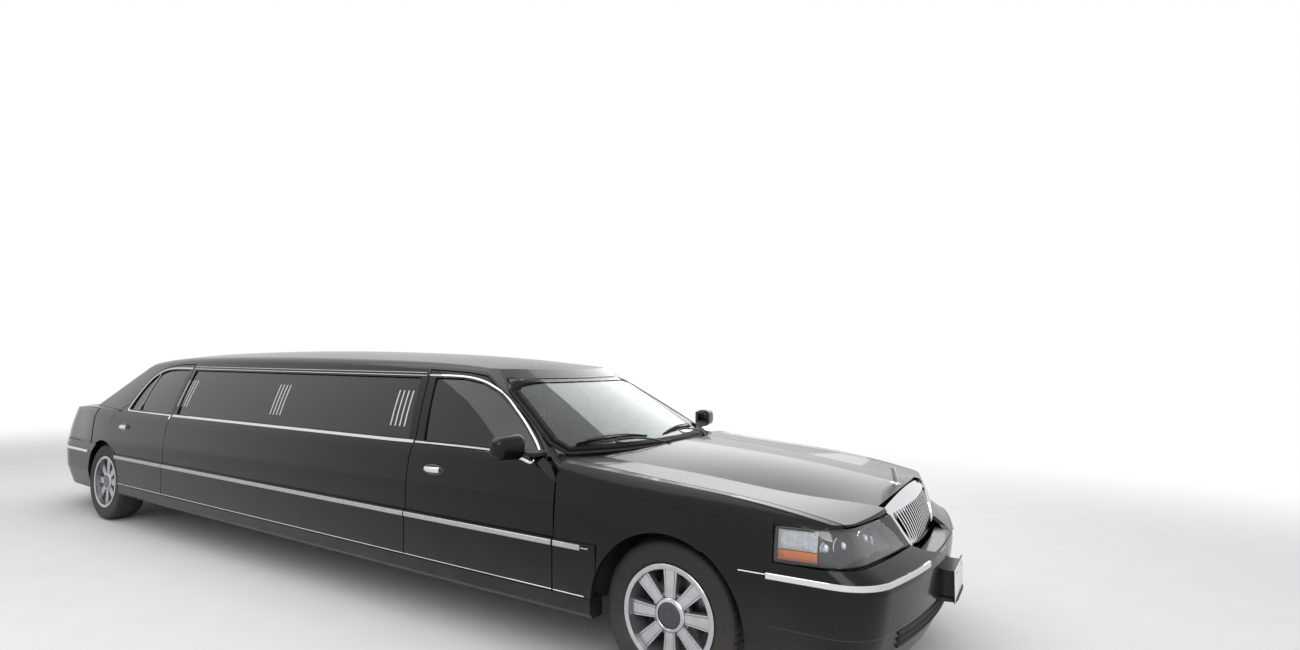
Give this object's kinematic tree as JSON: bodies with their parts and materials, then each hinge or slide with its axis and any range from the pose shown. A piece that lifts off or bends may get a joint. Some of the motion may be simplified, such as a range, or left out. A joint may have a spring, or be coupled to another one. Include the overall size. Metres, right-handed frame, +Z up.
{
  "type": "stretch limousine, four-door with a lengthened centre section",
  "caption": "Black stretch limousine, 8.6 m long, with four opening doors, hood, trunk lid, steering and rolling wheels.",
  "frame": {"origin": "on the ground under the middle of the car's length and width", "axes": "+X to the nose, +Y to the driver's left-hand side, +Z up"},
  "size_m": [8.577, 2.41, 1.584],
  "materials": {
    "body_paint": "deep black gloss clear coat",
    "underbody": "satin black underseal",
    "chassis_steel": "satin chassis black",
    "cast_metal": "rough casting",
    "exhaust_steel": "dull, heat marked",
    "tank_steel": "satin black",
    "engine_alloy": "rough cast",
    "radiator_core": "matt black fins",
    "tinted_glass": "dark privacy tint",
    "screen_glass": "clear, lightly tinted",
    "lamp_glass": "clear lens over chrome reflectors",
    "red_lens": "clear red lens",
    "chrome": "polished",
    "rubber": "worn matt rubber",
    "wheel_alloy": "machined faces, silver paint between",
    "dash_plastic": "fine grain",
    "black_leather": "soft, semi matt",
    "wheel_leather": "smooth"
  },
  "bodies": {
    "body": {"floor_pan": "underbody", "sills": "underbody", "firewall": "underbody", "trunk_floor": "underbody", "rear_bulkhead": "underbody", "chassis_frame": "chassis_steel", "front_suspension": "chassis_steel", "driveline": "cast_metal", "exhaust": "exhaust_steel", "fuel_tank": "tank_steel", "engine": "engine_alloy", "radiator": "radiator_core", "side_panels": "body_paint", "front_fenders": "body_paint", "quarter_panels": "body_paint", "roof": "body_paint", "windshield": "screen_glass", "rear_window": "tinted_glass", "side_glass": "tinted_glass", "headlamps": "lamp_glass", "tail_lamps": "red_lens", "header_panel": "body_paint", "grille": "chrome", "front_bumper": "body_paint", "rear_bumper": "body_paint", "dashboard": "dash_plastic", "front_seats": "black_leather", "rear_seat": "black_leather", "lounge_seat": "black_leather"},
    "front_door_left": {"front_door_left": "body_paint", "front_door_glass_left": "tinted_glass", "mirror_left": "body_paint"},
    "rear_door_left": {"rear_door_left": "body_paint", "rear_door_glass_left": "tinted_glass"},
    "knuckle_left": {"knuckle_left": "cast_metal"},
    "front_wheel_left": {"front_tyre_left": "rubber", "front_rim_left": "wheel_alloy"},
    "rear_wheel_left": {"rear_tyre_left": "rubber", "rear_rim_left": "wheel_alloy"},
    "front_door_right": {"front_door_right": "body_paint", "front_door_glass_right": "tinted_glass", "mirror_right": "body_paint"},
    "rear_door_right": {"rear_door_right": "body_paint", "rear_door_glass_right": "tinted_glass"},
    "knuckle_right": {"knuckle_right": "cast_metal"},
    "front_wheel_right": {"front_tyre_right": "rubber", "front_rim_right": "wheel_alloy"},
    "rear_wheel_right": {"rear_tyre_right": "rubber", "rear_rim_right": "wheel_alloy"},
    "hood": {"hood": "body_paint"},
    "trunk_lid": {"trunk_lid": "body_paint"},
    "steering_wheel": {"steering_wheel": "wheel_leather"}
  },
  "joints": [
    {"name": "front_door_left_hinge", "type": "hinge", "parent": "body", "child": "front_door_left", "pos_m": [2.54675, 0.992, 0.7], "axis": [0, 0, -1], "range_deg": [0, 65]},
    {"name": "rear_door_left_hinge", "type": "hinge", "parent": "body", "child": "rear_door_left", "pos_m": [-1.6495, 0.992, 0.7], "axis": [0, 0, -1], "range_deg": [0, 65]},
    {"name": "steer_left", "type": "hinge", "parent": "body", "child": "knuckle_left", "pos_m": [3.1705, 0.79, 0.351], "axis": [0, 0, 1], "range_deg": [-33, 33]},
    {"name": "front_wheel_left_spin", "type": "hinge", "parent": "knuckle_left", "child": "front_wheel_left", "pos_m": [3.1705, 0.805, 0.351], "axis": [0, 1, 0], "continuous": true},
    {"name": "rear_wheel_left_spin", "type": "hinge", "parent": "body", "child": "rear_wheel_left", "pos_m": [-2.8675, 0.833, 0.351], "axis": [0, 1, 0], "continuous": true},
    {"name": "front_door_right_hinge", "type": "hinge", "parent": "body", "child": "front_door_right", "pos_m": [2.54675, -0.992, 0.7], "axis": [0, 0, 1], "range_deg": [0, 65]},
    {"name": "rear_door_right_hinge", "type": "hinge", "parent": "body", "child": "rear_door_right", "pos_m": [-1.6495, -0.992, 0.7], "axis": [0, 0, 1], "range_deg": [0, 65]},
    {"name": "steer_right", "type": "hinge", "parent": "body", "child": "knuckle_right", "pos_m": [3.1705, -0.79, 0.351], "axis": [0, 0, 1], "range_deg": [-33, 33]},
    {"name": "front_wheel_right_spin", "type": "hinge", "parent": "knuckle_right", "child": "front_wheel_right", "pos_m": [3.1705, -0.805, 0.351], "axis": [0, 1, 0], "continuous": true},
    {"name": "rear_wheel_right_spin", "type": "hinge", "parent": "body", "child": "rear_wheel_right", "pos_m": [-2.8675, -0.833, 0.351], "axis": [0, 1, 0], "continuous": true},
    {"name": "hood_hinge", "type": "hinge", "parent": "body", "child": "hood", "pos_m": [2.4705, 0, 1.004], "axis": [0, -1, 0], "range_deg": [0, 50]},
    {"name": "trunk_lid_hinge", "type": "hinge", "parent": "body", "child": "trunk_lid", "pos_m": [-3.6715, 0, 1.064], "axis": [0, 1, 0], "range_deg": [0, 70]},
    {"name": "steering_wheel_turn", "type": "hinge", "parent": "body", "child": "steering_wheel", "pos_m": [1.9305, 0.4, 0.9], "axis": [-0.9063, 0, 0.4226], "range_deg": [-500, 500]}
  ],
  "couplings": [
    {"joint": "steer_right", "follows": "steer_left", "ratio": 1},
    {"joint": "steering_wheel_turn", "follows": "steer_left", "ratio": 15}
  ]
}
